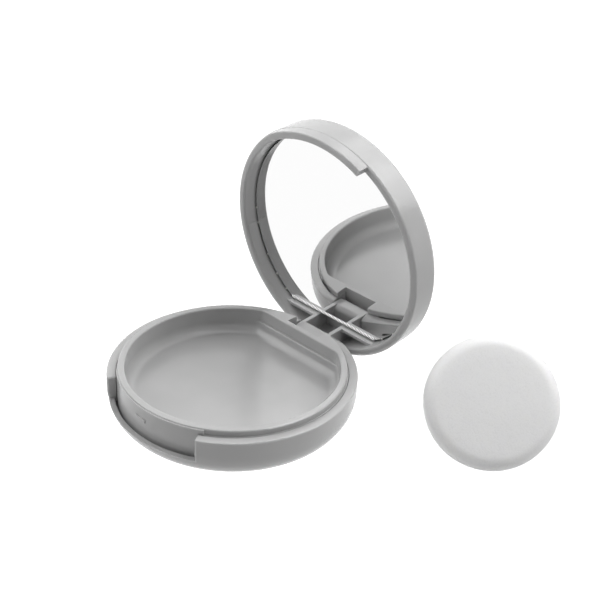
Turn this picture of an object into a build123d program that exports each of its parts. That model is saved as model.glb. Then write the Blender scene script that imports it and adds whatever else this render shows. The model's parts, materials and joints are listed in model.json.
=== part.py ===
from build123d import *
import math
import os

# A round moulded compact case: a bowl-shaped base with a D-shaped well, a lid with a mirror on a rear pin,
# and a loose soft pad beside it. Millimetres and degrees. The origin is the middle of the flat
# foot, +Z is up and the hinge is on the +Y side. The lid is drawn closed, then swung open to its stop.

# --- Case ---
CASE_R = 32.0              # outer radius of the base
SHOULDER_Z = 12.5          # height of the shoulder that the closed lid rests on
BELLY_R = 8.5              # rounding of the underside
WALL = 1.4                 # moulded wall of the bowl
FOOT_GROOVE_R = 20.0       # shallow groove round the middle of the foot
FOOT_GROOVE_W = 1.0
FOOT_GROOVE_DEPTH = 0.4
EDGE_R = 0.35              # broken edges of the mouldings
COLLAR_R = 29.75           # bore of the thick collar that holds the pan
COLLAR_BOTTOM_Z = 4.2      # step that the pan stands on

# --- Thumb recess in the front of the base ---
RECESS_HALF_ANGLE = 32.0
RECESS_LEDGE_Z = 6.2       # top of the low outer wall under the thumb
RECESS_TROUGH_R = 30.3     # inner face of that wall
RECESS_TROUGH_Z = 4.8      # bottom of the gap behind it
RECESS_END_R = 0.5         # rounding of the upright edges at its ends

# --- Hinge ---
PIN_R = 0.8
PIN_LEFT_X = -8.8
PIN_RIGHT_X = 10.6
PIN_CHAMFER = 0.15
PIN_RUNNING_GAP = 0.05     # radial clearance of the pin in the lid's knuckle
PIN_SEAT_GAP = 0.01        # radial clearance of the pin in the base
HINGE_Y = 28.9
HINGE_DROP = 4.0           # hinge axis below the shoulder
OPEN_ANGLE = 84.3
LUG_HALF_W = 5.3           # half width of the lid's hinge lug
NOTCH_HALF_W = 5.8         # half width of the opening for it in the base
KNUCKLE_R = 3.3            # barrel of the knuckle round the pin
KNUCKLE_FACE = 3.6         # flat front of the knuckle, from the axis
KNUCKLE_FACE_DROP = 0.8    # how far below the axis that flat reaches
KNUCKLE_TOE = 0.27         # fullness of the round between that flat and the barrel
KNUCKLE_TOP = 3.2          # top of the knuckle above the axis, with the lid closed
KNUCKLE_EDGE_R = 1.6       # rounding of the knuckle between the lug's arms
KNUCKLE_GAP = 0.25         # clearance round the barrel
STOP_GAP = 0.03            # between the lug's back and the sill when the lid is open
CHEEK_OUTER_X = 9.2        # outer side of the hinge cheeks in the base
CHEEK_TOP_GAP = 0.1        # cheeks below the underside of the deck

# --- Pan ---
SPIGOT_R = 29.3            # rim that the lid closes over
SPIGOT_H = 1.7             # rim above the shoulder
SKIRT_R = 29.6             # pan below the shoulder, and all of it in the thumb recess
SKIRT_BOTTOM_Z = 4.25
WELL_R = 27.5
WELL_CHORD_Y = 23.7        # straight side of the well
WELL_DEPTH = 7.2
WELL_CORNER_R = 3.2
WELL_FLOOR_R = 2.8
WELL_FLOOR_T = 1.5
PAN_HOLLOW_R = 28.0        # hollow under the well's floor
NOTCH_FRONT_Y = 25.08      # back of the straight wall, which is the front of the hinge notch
WELL_RIM_R = 0.4           # rounding of the rim round the well
LEDGE_W = 0.75             # narrow ledge along the straight wall
LEDGE_DROP = 3.65          # ledge below the rim
LEDGE_EDGE_R = 0.25
NUB_W, NUB_H, NUB_OUT = 3.6, 0.9, 0.2
NUB_DROP = 2.0             # middle of the catch nub below the shoulder
PROUD_HALF_ANGLE = 35.0    # stretch of rim over the thumb recess that stays as wide as the skirt

# --- Lid, closed, measured from its rim plane ---
RIM_GAP = 0.1              # lid rim above the shoulder
LID_R = 32.2
LID_BORE_R = 30.0
LID_RIM_R = 0.75           # rounding of the rim, inside and out
LID_H = 7.8
LID_CORNER_R = 0.9
LID_DOME = 0.4
TAB_HALF_ANGLE = 29.3
TAB_DROP = 2.8
TAB_R = 32.05
RIB_FRONT_Y = 25.3         # ribs beside the mirror's straight edge
RIB_T = 0.9
RIB_TOP = 2.4              # rib edges above the rim plane
ARM_T = 1.1                # side walls of the hinge lug
LUG_BACK_R = 31.9          # back of the lug, flush with the base when closed
LUG_BACK_T = 1.6           # back wall of the lug
PAD_ANGLES = (10.0, 30.0)  # stretch of bore that carries a low mirror-retaining pad
PAD_PROUD = 0.15

# --- Mirror ---
MIRROR_R = 29.4
MIRROR_T = 1.6
MIRROR_DEPTH = 4.3         # mirror face above the rim plane
MIRROR_CHORD_Y = 25.0
TAPE_R = 26.0
TAPE_CHORD_Y = 22.0
TAPE_T = 0.35
BEAD_R = 0.29
BEAD_CENTRE_R = 29.7
BEAD_ANGLES = (38.0, 48.0, 60.0, 79.0, 88.0)   # from the hinge side, on the left and on the right

# --- Loose pad, on its edge and leaning back ---
SPONGE_R = 16.5
SPONGE_T = 9.5
SPONGE_EDGE_R = 2.1
SPONGE_SETTLE = 0.1        # how much its weight flattens it where it touches the ground
SPONGE_X, SPONGE_Y = 55.2, 34.9
SPONGE_FACING = 37.4       # the way it faces, from -Y towards +X
SPONGE_LEAN = 40.0         # back from upright

# --- Worked out from the above ---
HINGE_Z = SHOULDER_Z - HINGE_DROP
FOOT_R = CASE_R - BELLY_R
RIM_TOP_Z = SHOULDER_Z + SPIGOT_H
WELL_FLOOR_Z = RIM_TOP_Z - WELL_DEPTH
LID_Z = SHOULDER_Z + RIM_GAP
LID_FLOOR = MIRROR_DEPTH + MIRROR_T + TAPE_T
FAR = 4 * CASE_R           # larger than anything in the case


def revolved(outline):
    """Solid of revolution about Z from a closed outline drawn in the XZ plane."""
    return revolve(outline, Axis.Z)


def sector(half_angle, inner_r, outer_r, low, high):
    """Ring sector centred on the front, -Y."""
    a = math.radians(half_angle)
    corner = (FAR * math.sin(a), -FAR * math.cos(a))
    wedge = make_face(Polyline((0, 0), corner, (0, -FAR), (-corner[0], corner[1]), close=True))
    ring = Circle(outer_r) & wedge
    if inner_r > 0:
        ring -= Circle(inner_r)
    return Pos(0, 0, low) * extrude(ring, high - low)


def box(x0, x1, y0, y1, z0, z1):
    """Box between two corners."""
    return Pos((x0 + x1) / 2, (y0 + y1) / 2, (z0 + z1) / 2) * Box(x1 - x0, y1 - y0, z1 - z0)


def hinge_rod(radius, x0, x1):
    """Round bar on the hinge axis."""
    rod = Rotation(0, 90, 0) * Cylinder(radius, x1 - x0)
    return Pos((x0 + x1) / 2, HINGE_Y, HINGE_Z) * rod


def across_hinge(points_and_arcs, half_width):
    """Slab along X whose outline is in (y, z) measured from the hinge axis."""
    face = Plane.YZ * make_face(points_and_arcs)
    return Pos(-half_width, HINGE_Y, HINGE_Z) * extrude(face, 2 * half_width)


def disc_with_chord(radius, chord_y, thickness):
    """Round plate with one straight edge on the +Y side."""
    face = Circle(radius) & Pos(0, chord_y - FAR / 2) * Rectangle(FAR, FAR)
    return extrude(face, thickness)


def bowl_outline(radius, belly_r, floor_z, top_z):
    """Half outline of the bowl: flat floor, rounded belly, upright wall."""
    foot_r = radius - belly_r
    belly_z = floor_z + belly_r
    bend = belly_r * math.sqrt(0.5)
    floor = Line((0, floor_z), (foot_r, floor_z))
    belly = ThreePointArc(floor @ 1, (foot_r + bend, belly_z - bend), (radius, belly_z))
    wall = Line(belly @ 1, (radius, top_z))
    top = Line(wall @ 1, (0, top_z))
    back = Line(top @ 1, (0, floor_z))
    return Plane.XZ * make_face([floor, belly, wall, top, back])


def lug_passage():
    """Opening through the back of the base for the lug. Its lower edge is the sill that stops the lid."""
    barrel = KNUCKLE_R + KNUCKLE_GAP
    slope = math.tan(math.radians(90 - OPEN_ANGLE))
    depth = (LUG_BACK_R - HINGE_Y) * math.hypot(1, slope) + STOP_GAP
    # the sill leans with the open lid, and starts where it meets the round of the passage
    root = math.sqrt((slope * depth) ** 2 - (1 + slope**2) * (depth**2 - barrel**2))
    start = (slope * depth + root) / (1 + slope**2)
    sill_in = (start, slope * start - depth)
    sill_out = (2 * barrel, 2 * barrel * slope - depth)
    top = 2 * HINGE_DROP
    # in front it opens wider, for the toe of the knuckle
    side = barrel * math.sqrt(0.5)
    front = -KNUCKLE_FACE - 2 * KNUCKLE_GAP
    arc = ThreePointArc((-side, -side), (0, -barrel), sill_in)
    low_front = (front, -barrel / 2)
    rest = Polyline(sill_in, sill_out, (sill_out[0], top), (front, top), low_front, (-side, -side))
    return across_hinge([arc, rest], NOTCH_HALF_W)


def bowl():
    """Base moulding without its openings: foot, belly, collar and a block behind the pan for the hinge."""
    outside = revolved(bowl_outline(CASE_R, BELLY_R, 0, SHOULDER_Z))
    outside = fillet(outside.edges().filter_by(GeomType.CIRCLE).group_by(Axis.Z)[-1], EDGE_R)
    hollow = revolved(bowl_outline(CASE_R - WALL, BELLY_R - WALL, WALL, SHOULDER_Z))
    hollow &= box(-FAR, FAR, -FAR, FAR, 0, COLLAR_BOTTOM_Z)
    collar_z = (COLLAR_BOTTOM_Z + FAR) / 2
    bore = Pos(0, 0, collar_z) * Cylinder(COLLAR_R, FAR - COLLAR_BOTTOM_Z)
    groove = extrude(Circle(FOOT_GROOVE_R + FOOT_GROOVE_W) - Circle(FOOT_GROOVE_R), FOOT_GROOVE_DEPTH)
    block = box(-CHEEK_OUTER_X, CHEEK_OUTER_X, NOTCH_FRONT_Y + KNUCKLE_GAP, FAR,
                WALL / 2, SHOULDER_Z - CHEEK_TOP_GAP)
    return outside - hollow - bore - groove + (block & outside)


def thumb_recess(shell):
    """Cuts the front of the shoulder away, leaving a low wall in front of the pan."""
    shell -= sector(RECESS_HALF_ANGLE, 0, FAR, RECESS_LEDGE_Z, FAR)
    a = math.radians(RECESS_HALF_ANGLE)
    x, y = CASE_R * math.sin(a), -CASE_R * math.cos(a)
    middle = (SHOULDER_Z + BELLY_R) / 2
    ends = [shell.edges().sort_by_distance((side * x, y, middle))[0] for side in (-1, 1)]
    shell = fillet(ends, RECESS_END_R)
    return shell - sector(RECESS_HALF_ANGLE, 0, RECESS_TROUGH_R, RECESS_TROUGH_Z, FAR)


def base_shell():
    """Outer casing with the foot, shoulder, thumb recess, hinge cheeks and pin bore."""
    shell = thumb_recess(bowl()) - lug_passage()
    # the back of the shoulder is rounded about the hinge axis, so that the lid's rim swings past it
    swing = HINGE_DROP - STOP_GAP
    behind = box(-FAR, FAR, HINGE_Y, FAR, HINGE_Z, FAR)
    shell -= behind - hinge_rod(swing, -FAR, FAR)
    return shell - hinge_rod(PIN_R + PIN_SEAT_GAP, PIN_LEFT_X, CASE_R)


def well_space(chord_y, low, high):
    """Space with a D-shaped outline and rounded corners."""
    outline = Circle(WELL_R) & Pos(0, chord_y - FAR / 2) * Rectangle(FAR, FAR)
    outline = fillet(outline.vertices(), WELL_CORNER_R)
    return Pos(0, 0, low) * extrude(outline, high - low)


def well():
    """The space that the pan holds. Its straight wall steps back above the ledge."""
    ledge_z = RIM_TOP_Z - LEDGE_DROP
    lower = well_space(WELL_CHORD_Y - LEDGE_W, WELL_FLOOR_Z, FAR)
    lower = fillet(lower.faces().sort_by(Axis.Z)[0].edges(), WELL_FLOOR_R)
    upper = well_space(WELL_CHORD_Y, ledge_z, FAR)
    return lower + upper


def inner_pan():
    """Liner with the spigot rim, the well, the deck behind it and the hinge notch."""
    spigot = Pos(0, 0, (SHOULDER_Z + RIM_TOP_Z) / 2) * Cylinder(SPIGOT_R, SPIGOT_H)
    skirt = Pos(0, 0, (SKIRT_BOTTOM_Z + SHOULDER_Z) / 2) * Cylinder(SKIRT_R, SHOULDER_Z - SKIRT_BOTTOM_Z)
    front = sector(PROUD_HALF_ANGLE, WELL_R, SKIRT_R, SHOULDER_Z - NUB_H, RIM_TOP_Z - EDGE_R)
    pan = skirt + spigot
    pan = fillet(pan.edges().filter_by(GeomType.CIRCLE).sort_by(Axis.Z)[-1], EDGE_R)
    pan += front
    hollow_top = WELL_FLOOR_Z - WELL_FLOOR_T
    hollow = Cylinder(PAN_HOLLOW_R, hollow_top - SKIRT_BOTTOM_Z)
    pan -= Pos(0, 0, (hollow_top + SKIRT_BOTTOM_Z) / 2) * hollow
    pan -= box(-FAR, FAR, NOTCH_FRONT_Y, FAR, 0, SHOULDER_Z)
    pan -= box(-NOTCH_HALF_W, NOTCH_HALF_W, NOTCH_FRONT_Y, FAR, 0, FAR)
    pan -= well()
    rim = pan.faces().sort_by(Axis.Z)[-1]
    pan = fillet(rim.inner_wires().edges(), WELL_RIM_R)
    ledge_middle = (0, WELL_CHORD_Y - LEDGE_W, RIM_TOP_Z - LEDGE_DROP)
    pan = fillet(pan.edges().filter_by(Axis.X).sort_by_distance(ledge_middle)[0], LEDGE_EDGE_R)
    nub = box(-NUB_W / 2, NUB_W / 2, -SKIRT_R - NUB_OUT, -SKIRT_R + WALL / 2,
              SHOULDER_Z - NUB_DROP - NUB_H / 2, SHOULDER_Z - NUB_DROP + NUB_H / 2)
    nub = chamfer(nub.faces().sort_by(Axis.Y)[0].edges(), NUB_OUT / 2)
    return pan + nub


def hinge_pin():
    """Steel pin, pushed in from the +X side."""
    rod = hinge_rod(PIN_R, PIN_LEFT_X, PIN_RIGHT_X)
    return chamfer(rod.edges().filter_by(GeomType.CIRCLE), PIN_CHAMFER)


def lid_cup():
    """Lid wall and domed crown, hollow below, with its rim on the plane Z = 0."""
    shoulder = (LID_R, LID_H - LID_CORNER_R)
    bend = LID_CORNER_R * math.sqrt(0.5)
    corner_mid = (LID_R - LID_CORNER_R + bend, LID_H - LID_CORNER_R + bend)
    corner_end = (LID_R - LID_CORNER_R, LID_H)
    crown = (0, LID_H + LID_DOME)
    rim = Line((0, 0), (LID_R, 0))
    wall = Line(rim @ 1, shoulder)
    corner = ThreePointArc(shoulder, corner_mid, corner_end)
    # the crown is part of a sphere centred on the axis
    ball_r = (corner_end[0] ** 2 + LID_DOME**2) / (2 * LID_DOME)
    half = math.asin(corner_end[0] / ball_r) / 2
    dome_mid = (ball_r * math.sin(half), crown[1] - ball_r * (1 - math.cos(half)))
    dome = ThreePointArc(corner_end, dome_mid, crown)
    axis = Line(crown, (0, 0))
    cup = revolved(Plane.XZ * make_face([rim, wall, corner, dome, axis]))
    return cup - Pos(0, 0, LID_FLOOR / 2) * Cylinder(LID_BORE_R, LID_FLOOR)


def mirror_ribs():
    """Two ribs beside the mirror's straight edge, from the lug's arms out to the lid wall."""
    low, high = RIB_TOP, LID_FLOOR
    ribs = box(-LID_R, LID_R, RIB_FRONT_Y, RIB_FRONT_Y + RIB_T, low, high)
    ribs -= box(-LUG_HALF_W, LUG_HALF_W, 0, FAR, low, high)
    return ribs & Pos(0, 0, high / 2) * Cylinder(LID_BORE_R + RIB_T, high)


def hinge_lug():
    """Hollow lug below the lid: two arms, a back wall and the knuckle round the pin. Lid closed."""
    back = LUG_BACK_R - HINGE_Y
    top = LID_FLOOR + RIM_GAP + HINGE_DROP
    barrel = KNUCKLE_R
    side = barrel * math.sqrt(0.5)
    toe = (-KNUCKLE_FACE, -KNUCKLE_FACE_DROP)
    heel = (back, -math.sqrt(barrel**2 - back**2))
    round_toe = ThreePointArc(toe, (-side - KNUCKLE_TOE, -side + KNUCKLE_TOE), (0, -barrel))
    round_heel = ThreePointArc((0, -barrel), (side, -side), heel)
    rest = Polyline(heel, (back, top), (-KNUCKLE_FACE, top), toe)
    block = across_hinge([round_toe, round_heel, rest], LUG_HALF_W)
    pocket_half = LUG_HALF_W - ARM_T
    pocket = box(-pocket_half, pocket_half, 0, LUG_BACK_R - LUG_BACK_T, HINGE_Z + KNUCKLE_TOP, FAR)
    lug = block - pocket
    edge_middle = (0, HINGE_Y - KNUCKLE_FACE, HINGE_Z + KNUCKLE_TOP)
    lug = fillet(lug.edges().filter_by(Axis.X).sort_by_distance(edge_middle)[0], KNUCKLE_EDGE_R)
    lug &= Pos(0, 0, HINGE_Z) * Cylinder(LUG_BACK_R, FAR)
    return lug - hinge_rod(PIN_R + PIN_RUNNING_GAP, -FAR, FAR)


def retaining_pads():
    """Low pads on the lid's bore, one each side of the hinge, that steady the mirror."""
    low, high = LID_RIM_R, MIRROR_DEPTH - EDGE_R
    start, end = PAD_ANGLES
    strip = sector((end - start) / 2, LID_BORE_R - PAD_PROUD, LID_BORE_R + WALL / 2, low, high)
    turn = 90 + (start + end) / 2
    return Rotation(0, 0, turn) * strip + Rotation(0, 0, -turn) * strip


def lid_shell():
    """Lid moulding, closed."""
    cup = lid_cup()
    cup = fillet(cup.edges().filter_by(GeomType.CIRCLE).group_by(Axis.Z)[0], LID_RIM_R)
    tab = sector(TAB_HALF_ANGLE, LID_BORE_R, TAB_R, -TAB_DROP, LID_CORNER_R)
    low_edges = tab.edges().filter_by(GeomType.CIRCLE).group_by(Axis.Z)[0]
    tab = fillet(low_edges, EDGE_R)
    lid = cup + tab + mirror_ribs() + retaining_pads()
    return Pos(0, 0, LID_Z) * lid + hinge_lug()


def mirror_glass():
    """Round mirror with a straight edge, closed."""
    plate = disc_with_chord(MIRROR_R, MIRROR_CHORD_Y, MIRROR_T)
    return Pos(0, 0, LID_Z + MIRROR_DEPTH) * plate


def mirror_tape():
    """Foam tape between the mirror and the lid, closed."""
    tape = disc_with_chord(TAPE_R, TAPE_CHORD_Y, TAPE_T)
    return Pos(0, 0, LID_Z + MIRROR_DEPTH + MIRROR_T) * tape


def mirror_glue_beads():
    """Beads of glue in the gap between the mirror and the lid's bore, closed."""
    beads = []
    for from_hinge in BEAD_ANGLES:
        for angle in (90 - from_hinge, 90 + from_hinge):
            a = math.radians(angle)
            x, y = BEAD_CENTRE_R * math.cos(a), BEAD_CENTRE_R * math.sin(a)
            beads.append(Pos(x, y, LID_Z + MIRROR_DEPTH) * Sphere(BEAD_R))
    return Compound(children=beads)


def sponge_pad():
    """Soft round pad on its edge, settled a little where it touches the ground."""
    puck = fillet(Cylinder(SPONGE_R, SPONGE_T).edges().filter_by(GeomType.CIRCLE), SPONGE_EDGE_R)
    lean = math.radians(SPONGE_LEAN)
    across = (SPONGE_R - SPONGE_EDGE_R) * math.cos(lean)
    through = (SPONGE_T / 2 - SPONGE_EDGE_R) * math.sin(lean)
    middle_z = across + through + SPONGE_EDGE_R - SPONGE_SETTLE
    leaning = Pos(0, 0, middle_z) * Rotation(90 - SPONGE_LEAN, 0, 0) * puck
    leaning &= box(-FAR, FAR, -FAR, FAR, 0, FAR)
    return Pos(SPONGE_X, SPONGE_Y, 0) * Rotation(0, 0, SPONGE_FACING) * leaning


def swung_open(shape):
    """Turns a lid piece about the hinge axis, from closed to its open stop."""
    hinge = Axis((0, HINGE_Y, HINGE_Z), (1, 0, 0))
    return shape.rotate(hinge, -OPEN_ANGLE)


def main():
    pieces = {
        "base_shell": base_shell(),
        "inner_pan": inner_pan(),
        "hinge_pin": hinge_pin(),
        "lid_shell": swung_open(lid_shell()),
        "mirror_glass": swung_open(mirror_glass()),
        "mirror_tape": swung_open(mirror_tape()),
        "mirror_glue_beads": swung_open(mirror_glue_beads()),
        "sponge_pad": sponge_pad(),
    }
    os.makedirs("parts", exist_ok=True)
    for name, shape in pieces.items():
        export_step(shape, f"parts/{name}.step")


main()
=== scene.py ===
import json
import math
import random

import bmesh
import bpy
from mathutils import Matrix, Vector


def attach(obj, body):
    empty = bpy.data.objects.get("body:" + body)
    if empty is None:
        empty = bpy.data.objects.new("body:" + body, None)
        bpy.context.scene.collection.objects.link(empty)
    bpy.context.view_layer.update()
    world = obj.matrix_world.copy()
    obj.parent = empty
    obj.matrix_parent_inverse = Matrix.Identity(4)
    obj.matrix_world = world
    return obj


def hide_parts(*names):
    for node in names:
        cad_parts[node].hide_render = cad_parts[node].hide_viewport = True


# A round moulded compact case standing open, with a mirror in its lid and a loose foam pad beside it.
# Metres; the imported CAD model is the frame.

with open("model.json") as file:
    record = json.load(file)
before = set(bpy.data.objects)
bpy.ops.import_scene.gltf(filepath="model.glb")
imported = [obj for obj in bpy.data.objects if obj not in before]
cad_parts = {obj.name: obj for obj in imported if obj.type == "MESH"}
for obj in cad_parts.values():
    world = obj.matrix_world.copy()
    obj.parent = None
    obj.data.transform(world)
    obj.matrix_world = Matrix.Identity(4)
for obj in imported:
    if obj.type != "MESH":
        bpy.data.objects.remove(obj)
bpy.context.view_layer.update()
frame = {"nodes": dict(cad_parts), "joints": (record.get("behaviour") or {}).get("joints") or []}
nodes = frame["nodes"]
scene = bpy.context.scene
random.seed(7)

MM = 0.001

# The lid's pieces are given with the lid closed, and swung() takes them to the open pose.
HINGE = Vector(frame["joints"][0]["pos_m"])
OPEN_ANGLE = math.radians(frame["joints"][0]["range_deg"][1])
LID_RIM = 12.6 * MM               # height of the lid's rim plane when closed
MIRROR_DEPTH = 4.3 * MM           # mirror face behind that plane
MIRROR_T = 1.6 * MM
MIRROR_R = 29.75 * MM
MIRROR_CHORD = 25.0 * MM
STRIP_W = 0.7 * MM                # ground strip along the mirror's straight edge
RIB_PITCH = 0.48 * MM
BEVEL_RISE = 0.35 * MM            # the strip's outer edge in front of the mirror face
STRIP_END = 0.4 * MM              # bare glass beyond each end of the ribs
STRIP_EDGE = 0.1 * MM             # and beyond their outer side
RIB_H = 0.11 * MM                 # tallest rib
RIB_ROOT = 0.02 * MM              # the ribs' undersides lie this far into the glass
SEAM = 0.25 * MM                  # broken edge of the glass
FACE_Z = LID_RIM + MIRROR_DEPTH

# The loose pad, on its edge and leaning back
PAD_R = 16.5 * MM
PAD_T = 9.5 * MM
PAD_EDGE_R = 2.1 * MM             # edge rounding that decides how high the leaning pad sits
PAD_SHOULDER = 3.2 * MM           # soft rounding of the foam
PAD_CROWN = 0.3 * MM              # the faces' middle in front of their shoulders
PAD_SETTLE = 0.1 * MM
PAD_XY = (55.2 * MM, 34.9 * MM)
PAD_FACING = math.radians(37.4)   # from -Y towards +X
PAD_LEAN = math.radians(40)

# The studio
WHITE = 1.25                      # brightness of the white surroundings where they are seen
AMBIENT = 0.09                    # and as soft light on the object
AIM = Vector((0.01, 0.005, 0.025))
BOX_SIZE = 0.35
BOX_AWAY = 0.5                    # distance of the softboxes from the point they are aimed at


# ---------------------------------------------------------------- materials

def new_material(name, color, roughness, **sockets):
    """Principled material with its plain values on the shader's own sockets."""
    mat = bpy.data.materials.new(name)
    mat.use_nodes = True
    shader = mat.node_tree.nodes["Principled BSDF"]
    shader.inputs["Base Color"].default_value = (*color, 1.0)
    shader.inputs["Roughness"].default_value = roughness
    for socket, value in sockets.items():
        shader.inputs[socket.replace("_", " ")].default_value = value
    return mat, mat.node_tree, shader


def noise(tree, scale, detail=3.0, rough=0.55, stretch=(1, 1, 1)):
    """Noise in object space, where one unit is a metre."""
    coord = tree.nodes.new("ShaderNodeTexCoord")
    mapping = tree.nodes.new("ShaderNodeMapping")
    mapping.inputs["Scale"].default_value = stretch
    tex = tree.nodes.new("ShaderNodeTexNoise")
    tex.inputs["Scale"].default_value = scale
    tex.inputs["Detail"].default_value = detail
    tex.inputs["Roughness"].default_value = rough
    tree.links.new(coord.outputs["Object"], mapping.inputs["Vector"])
    tree.links.new(mapping.outputs["Vector"], tex.inputs["Vector"])
    return tex.outputs["Fac"]


def ramp(tree, value, stops):
    """Colour ramp through (position, colour) stops."""
    node = tree.nodes.new("ShaderNodeValToRGB")
    elements = node.color_ramp.elements
    while len(elements) < len(stops):
        elements.new(0.5)
    for element, (position, color) in zip(elements, stops):
        element.position = position
        element.color = (*color, 1.0)
    tree.links.new(value, node.inputs["Fac"])
    return node.outputs["Color"]


def spread(tree, value, low, high):
    """Maps the middle of a noise onto low..high."""
    node = tree.nodes.new("ShaderNodeMapRange")
    node.inputs["From Min"].default_value = 0.3
    node.inputs["From Max"].default_value = 0.7
    node.inputs["To Min"].default_value = low
    node.inputs["To Max"].default_value = high
    tree.links.new(value, node.inputs["Value"])
    return node.outputs["Result"]


def bump(tree, shader, heights):
    """Chains bumps of (height socket, strength, distance) into the shader's normal."""
    normal = None
    for height, strength, distance in heights:
        node = tree.nodes.new("ShaderNodeBump")
        node.inputs["Strength"].default_value = strength
        node.inputs["Distance"].default_value = distance
        tree.links.new(height, node.inputs["Height"])
        if normal is not None:
            tree.links.new(normal, node.inputs["Normal"])
        normal = node.outputs["Normal"]
    tree.links.new(normal, shader.inputs["Normal"])


def moulded_plastic(name, tone, roughness):
    """Satin light grey plastic, a little translucent: flow clouding, fine moulded grain, hairline rubs."""
    mat, tree, shader = new_material(
        name, (tone, tone, tone), roughness,
        Specular_IOR_Level=0.5, Subsurface_Weight=0.6, Subsurface_Scale=1.6 * MM)
    shader.inputs["Subsurface Radius"].default_value = (1.0, 1.0, 1.0)
    cloud = noise(tree, 55, detail=2)
    color = ramp(tree, cloud, [(0.35, (tone * 0.965,) * 3), (0.65, (tone * 1.03,) * 3)])
    tree.links.new(color, shader.inputs["Base Color"])
    patches = noise(tree, 140, detail=4)
    tree.links.new(spread(tree, patches, roughness - 0.03, roughness + 0.05), shader.inputs["Roughness"])
    grain = noise(tree, 9000, detail=2, rough=0.6)
    rubs = noise(tree, 900, detail=2, stretch=(0.08, 1, 1))
    sink = noise(tree, 60, detail=1)
    bump(tree, shader, [(grain, 0.18, 0.02 * MM), (rubs, 0.04, 0.03 * MM), (sink, 0.25, 0.25 * MM)])
    return mat


def mirror_face():
    """Silver seen through glass, with a faint haze and waviness."""
    mat, tree, shader = new_material("mirror_silver", (0.78, 0.78, 0.78), 0.02, Metallic=1.0)
    haze = noise(tree, 120, detail=5)
    tree.links.new(spread(tree, haze, 0.008, 0.035), shader.inputs["Roughness"])
    wave = noise(tree, 25, detail=0)
    bump(tree, shader, [(wave, 0.02, 0.1 * MM)])
    return mat


def ground_glass(name, tone):
    """Silvered bevel with ground marks."""
    mat, tree, shader = new_material(name, (tone, tone, tone), 0.28, Metallic=0.85)
    grit = noise(tree, 5200, detail=3)
    color = ramp(tree, grit, [(0.35, (tone * 0.84,) * 3), (0.6, (tone * 1.02,) * 3)])
    tree.links.new(color, shader.inputs["Base Color"])
    bump(tree, shader, [(grit, 0.3, 0.02 * MM)])
    return mat


def glass_edge():
    """Cut edge and painted back of the mirror: grey-green."""
    mat, tree, shader = new_material("mirror_edge", (0.10, 0.12, 0.12), 0.3)
    chips = noise(tree, 1800, detail=4)
    color = ramp(tree, chips, [(0.4, (0.06, 0.075, 0.072)), (0.7, (0.20, 0.23, 0.22))])
    tree.links.new(color, shader.inputs["Base Color"])
    bump(tree, shader, [(chips, 0.3, 0.05 * MM)])
    return mat


def clear_glue():
    """Hardened glue, yellowish and lumpy."""
    mat, tree, shader = new_material("glue", (0.80, 0.79, 0.75), 0.12, Coat_Weight=0.4)
    lumps = noise(tree, 2500, detail=2)
    color = ramp(tree, lumps, [(0.35, (0.66, 0.65, 0.60)), (0.65, (0.9, 0.9, 0.88))])
    tree.links.new(color, shader.inputs["Base Color"])
    bump(tree, shader, [(lumps, 0.3, 0.05 * MM)])
    return mat


def foam_tape():
    """White tape with open foam cells."""
    mat, tree, shader = new_material("foam_tape", (0.84, 0.83, 0.80), 0.8)
    cells = noise(tree, 2600, detail=3)
    color = ramp(tree, cells, [(0.35, (0.72, 0.71, 0.68)), (0.6, (0.88, 0.87, 0.84))])
    tree.links.new(color, shader.inputs["Base Color"])
    bump(tree, shader, [(cells, 0.6, 0.1 * MM)])
    return mat


def drawn_steel():
    """Wire with fine scratches along its length, which lies along X."""
    mat, tree, shader = new_material("pin_steel", (0.60, 0.60, 0.61), 0.3, Metallic=1.0)
    lines = noise(tree, 3000, detail=3, stretch=(0.03, 1, 1))
    color = ramp(tree, lines, [(0.35, (0.48, 0.48, 0.49)), (0.65, (0.70, 0.70, 0.71))])
    tree.links.new(color, shader.inputs["Base Color"])
    tree.links.new(spread(tree, lines, 0.22, 0.42), shader.inputs["Roughness"])
    bump(tree, shader, [(lines, 0.2, 0.02 * MM)])
    return mat


def fine_foam():
    """Soft white foam: fine open pores, slightly translucent, with a soft bright edge."""
    mat, tree, shader = new_material(
        "foam", (0.92, 0.92, 0.92), 0.7,
        Subsurface_Weight=0.8, Subsurface_Scale=2.5 * MM, Sheen_Weight=0.3, Sheen_Roughness=0.5,
        Specular_IOR_Level=0.5, Coat_Weight=0.8, Coat_Roughness=0.5)
    shader.inputs["Subsurface Radius"].default_value = (1.0, 1.0, 0.95)
    pores = noise(tree, 2300, detail=4, rough=0.7)
    soft = noise(tree, 160, detail=2)
    color = ramp(tree, pores, [(0.34, (0.87, 0.87, 0.87)), (0.5, (0.92, 0.92, 0.92))])
    tree.links.new(color, shader.inputs["Base Color"])
    bump(tree, shader, [(pores, 0.35, 0.12 * MM), (soft, 0.3, 0.4 * MM)])
    return mat


PLASTIC = moulded_plastic("case_plastic", 0.50, 0.21)
MIRROR = mirror_face()
GROUND = ground_glass("ground_glass", 0.95)
# dark copy of the ground glass: painted shade on one flank of each rib
RIB_PAINTED_SHADE = ground_glass("ground_painted_shade", 0.20)
EDGE = glass_edge()
FOAM = fine_foam()


def dress(node, mat):
    """Gives a carried-over CAD node its material."""
    obj = nodes[node]
    obj.data.materials.clear()
    obj.data.materials.append(mat)


for name in ("base_shell", "inner_pan", "lid_shell"):
    dress(name, PLASTIC)
dress("hinge_pin", drawn_steel())
dress("mirror_tape", foam_tape())
dress("mirror_glue_beads", clear_glue())


# ---------------------------------------------------------------- pieces

def swung(point):
    """A point given with the lid closed, as it is with the lid open."""
    turn = Matrix.Rotation(-OPEN_ANGLE, 4, "X")
    return HINGE + turn @ (Vector(point) - HINGE)


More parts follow.
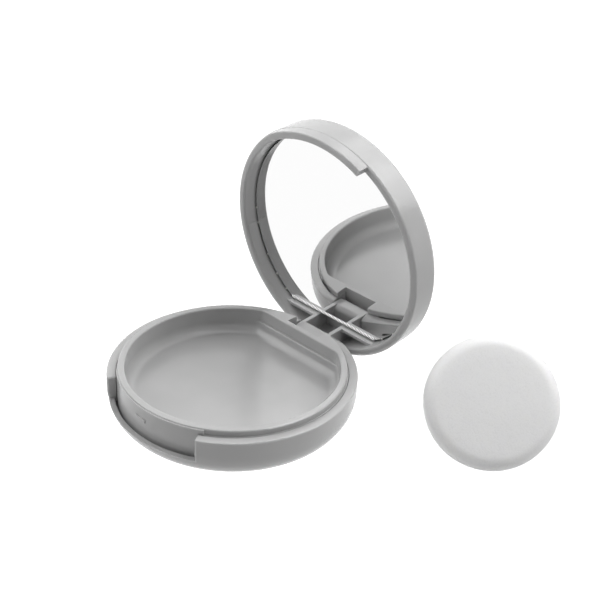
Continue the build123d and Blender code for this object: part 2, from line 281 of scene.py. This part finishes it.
def piece(name, bm, materials, smooth=True):
    """Makes an object in the scene from a bmesh, and frees the bmesh."""
    mesh = bpy.data.meshes.new(name)
    bm.to_mesh(mesh)
    bm.free()
    for mat in materials:
        mesh.materials.append(mat)
    for face in mesh.polygons:
        face.use_smooth = smooth
    obj = bpy.data.objects.new(name, mesh)
    scene.collection.objects.link(obj)
    return obj


def mirror_outline(inset):
    """Points round the mirror, from the right end of its straight edge round the front to the left end."""
    radius, chord = MIRROR_R - inset, MIRROR_CHORD - inset
    end = math.asin(chord / radius)
    steps = 144
    sweep = math.pi + 2 * end
    return [(radius * math.cos(end - sweep * i / steps), radius * math.sin(end - sweep * i / steps))
            for i in range(steps + 1)]


def mirror_plate():
    """Glass plate: silver face, ground strip along the straight edge, seamed corners, dark cut edge."""
    bm = bmesh.new()
    # rings from the silver face outwards, over the edge, to the back: (inset, distance behind the face)
    rings = [(SEAM, 0.0), (SEAM * 0.3, SEAM * 0.3), (0.0, SEAM), (0.0, MIRROR_T - SEAM), (SEAM, MIRROR_T)]
    loops = [[bm.verts.new(swung((x, y, FACE_Z + behind))) for x, y in mirror_outline(inset)]
             for inset, behind in rings]
    for a, b in zip(loops, loops[1:]):
        for i in range(len(a)):
            j = (i + 1) % len(a)
            bm.faces.new((a[i], a[j], b[j], b[i])).material_index = 2
    bm.faces.new(loops[-1]).material_index = 2
    # the silver face stops where the ground strip starts
    face = bm.faces.new(list(reversed(loops[0])))
    line = swung((0, MIRROR_CHORD - STRIP_W, FACE_Z))
    hingeward = swung((0, 1, 0)) - swung((0, 0, 0))
    bmesh.ops.bisect_plane(bm, geom=[face, *face.edges, *face.verts], plane_co=line, plane_no=hingeward)
    for f in bm.faces:
        if f.material_index == 0 and (f.calc_center_median() - line).dot(hingeward) > 0:
            f.material_index = 1
    bmesh.ops.recalc_face_normals(bm, faces=bm.faces)
    return piece("mirror_plate", bm, [MIRROR, GROUND, EDGE], smooth=False)


def ground_ribs():
    """Bevelled strip along the mirror's straight edge, ribbed across by its grinding; every other rib
    flank gets a dark copy of the ground glass as painted shade.
    """
    bm = bmesh.new()
    half = math.sqrt(MIRROR_R ** 2 - MIRROR_CHORD ** 2) - STRIP_END
    columns = 2 * int(2 * half / RIB_PITCH) + 1
    low, high = MIRROR_CHORD - STRIP_W, MIRROR_CHORD - STRIP_EDGE
    root_z = FACE_Z + RIB_ROOT
    rows = []
    for i in range(columns):
        x = -half + 2 * half * i / (columns - 1)
        crest = i % 2
        lift = RIB_H * crest * random.uniform(0.5, 1.0)
        section = ((x, low, FACE_Z - lift * 0.5), (x, high, FACE_Z - BEVEL_RISE - lift),
                   (x, high, root_z), (x, low, root_z))
        rows.append([bm.verts.new(swung(corner)) for corner in section])
    for i, (a, b) in enumerate(zip(rows, rows[1:])):
        for k in range(4):
            j = (k + 1) % 4
            # every other face takes the dark copy: painted shade on one flank of each rib
            bm.faces.new((a[k], a[j], b[j], b[k])).material_index = i % 2
    bm.faces.new(rows[0])
    bm.faces.new(rows[-1])
    bmesh.ops.recalc_face_normals(bm, faces=bm.faces)
    return piece("mirror_ground_ribs", bm, [GROUND, RIB_PAINTED_SHADE], smooth=False)


def pad_profile():
    """Outline of half the pad, from one face's middle to the other's: (radius, offset along its axis)."""
    flat_r = PAD_R - PAD_SHOULDER
    rings = 12
    half = [(flat_r * i / rings, PAD_T / 2 - PAD_CROWN * (i / rings) ** 2) for i in range(rings + 1)]
    for step in range(1, 10):
        a = math.radians(90 - 10 * step)
        half.append((flat_r + PAD_SHOULDER * math.cos(a),
                     (PAD_T / 2 - PAD_CROWN - PAD_SHOULDER) + PAD_SHOULDER * math.sin(a)))
    return half + [(PAD_R, 0.0)] + [(r, -z) for r, z in reversed(half)]


def foam_pad():
    """Round foam pad: crowned faces, soft shoulders, settled where it touches the ground."""
    across = (PAD_R - PAD_EDGE_R) * math.cos(PAD_LEAN)
    through = (PAD_T / 2 - PAD_EDGE_R) * math.sin(PAD_LEAN)
    middle = Vector((*PAD_XY, across + through + PAD_EDGE_R - PAD_SETTLE))
    ahead = Vector((math.sin(PAD_FACING), -math.cos(PAD_FACING), 0))
    side = Vector((math.cos(PAD_FACING), math.sin(PAD_FACING), 0))
    axis = ahead * math.cos(PAD_LEAN) + Vector((0, 0, 1)) * math.sin(PAD_LEAN)
    above = axis.cross(side)
    bm = bmesh.new()
    around = 160
    loops = []
    for r, z in pad_profile():
        if r == 0:
            loops.append([bm.verts.new(middle + axis * z)])
            continue
        ring = []
        for k in range(around):
            t = 2 * math.pi * k / around
            uneven = 1 - 0.004 * math.sin(3 * t + 0.6) ** 2 * (r / PAD_R) ** 2
            p = middle + axis * z + (side * math.cos(t) + above * math.sin(t)) * (r * uneven)
            p.z = max(p.z, 0.0)
            ring.append(bm.verts.new(p))
        loops.append(ring)
    for a, b in zip(loops, loops[1:]):
        for k in range(around):
            j = (k + 1) % around
            if len(a) == 1:
                bm.faces.new((a[0], b[k], b[j]))
            elif len(b) == 1:
                bm.faces.new((a[k], a[j], b[0]))
            else:
                bm.faces.new((a[k], a[j], b[j], b[k]))
    bmesh.ops.recalc_face_normals(bm, faces=bm.faces)
    return piece("foam_pad", bm, [FOAM])


mirror = mirror_plate()
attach(mirror, "lid")
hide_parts("mirror_glass")

ribs = ground_ribs()
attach(ribs, "lid")

pad = foam_pad()
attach(pad, "pad")
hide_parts("sponge_pad")


# ---------------------------------------------------------------- floor, light and camera

def seen(tree):
    """1 where the camera or a mirror-like surface looks, 0 for soft bounced light."""
    path = tree.nodes.new("ShaderNodeLightPath")
    either = tree.nodes.new("ShaderNodeMath")
    either.operation = "MAXIMUM"
    tree.links.new(path.outputs["Is Camera Ray"], either.inputs[0])
    tree.links.new(path.outputs["Is Glossy Ray"], either.inputs[1])
    return either.outputs[0]


def stage_floor():
    """Pale floor that shows as plain white, and bounces light like a matt board."""
    bm = bmesh.new()
    bmesh.ops.create_grid(bm, x_segments=2, y_segments=2, size=3.0)
    floor = piece("floor", bm, [])
    mat, tree, shader = new_material("floor_white", (0.65, 0.65, 0.65), 0.9, Specular_IOR_Level=0.0)
    glow = tree.nodes.new("ShaderNodeEmission")
    glow.inputs["Strength"].default_value = WHITE
    mix = tree.nodes.new("ShaderNodeMixShader")
    tree.links.new(seen(tree), mix.inputs["Fac"])
    tree.links.new(shader.outputs["BSDF"], mix.inputs[1])
    tree.links.new(glow.outputs["Emission"], mix.inputs[2])
    tree.links.new(mix.outputs["Shader"], tree.nodes["Material Output"].inputs["Surface"])
    floor.data.materials.append(mat)
    floor.location.z = -0.00005


def softbox(azimuth, elevation, power):
    """Square soft light aimed at the case. Azimuth 0 is in front, 90 to the right."""
    a, e = math.radians(azimuth), math.radians(elevation)
    away = Vector((math.sin(a) * math.cos(e), -math.cos(a) * math.cos(e), math.sin(e)))
    data = bpy.data.lights.new("softbox", "AREA")
    data.size = BOX_SIZE
    data.energy = power
    lamp = bpy.data.objects.new("softbox", data)
    lamp.location = AIM + away * BOX_AWAY
    lamp.rotation_euler = away.to_track_quat("Z", "Y").to_euler()
    scene.collection.objects.link(lamp)


def studio():
    """White surroundings and the softboxes, each (azimuth, elevation, power)."""
    world = bpy.data.worlds.new("studio")
    scene.world = world
    world.use_nodes = True
    tree = world.node_tree
    background = tree.nodes["Background"]
    background.inputs["Color"].default_value = (1.0, 1.0, 1.0, 1.0)
    strength = tree.nodes.new("ShaderNodeMapRange")
    strength.inputs["To Min"].default_value = AMBIENT
    strength.inputs["To Max"].default_value = WHITE
    tree.links.new(seen(tree), strength.inputs["Value"])
    tree.links.new(strength.outputs["Result"], background.inputs["Strength"])
    for box in ((135, 50, 1.35), (135, 72, 0.29), (180, 60, 0.75), (270, 30, 0.28), (270, 60, 0.41),
                (315, 30, 0.85)):
        softbox(*box)
    scene.view_settings.view_transform = "Standard"


def camera():
    """Three-quarter view from the front right, from above."""
    azimuth, elevation, roll = (math.radians(v) for v in (43.44, 29.39, 3.3))
    place = Vector((0.16095, -0.14661, 0.15562))
    back = Vector((math.sin(azimuth) * math.cos(elevation), -math.cos(azimuth) * math.cos(elevation),
                   math.sin(elevation)))
    level = Vector((math.cos(azimuth), math.sin(azimuth), 0))
    above = back.cross(level)
    right = level * math.cos(roll) + above * math.sin(roll)
    up = back.cross(right)
    data = bpy.data.cameras.new("camera")
    data.lens = 60.74
    data.sensor_width = 36.0
    data.clip_start = 0.01
    cam = bpy.data.objects.new("camera", data)
    axes = Matrix((right, up, back)).transposed().to_4x4()
    cam.matrix_world = Matrix.Translation(place) @ axes
    scene.collection.objects.link(cam)
    scene.camera = cam


stage_floor()
studio()
camera()
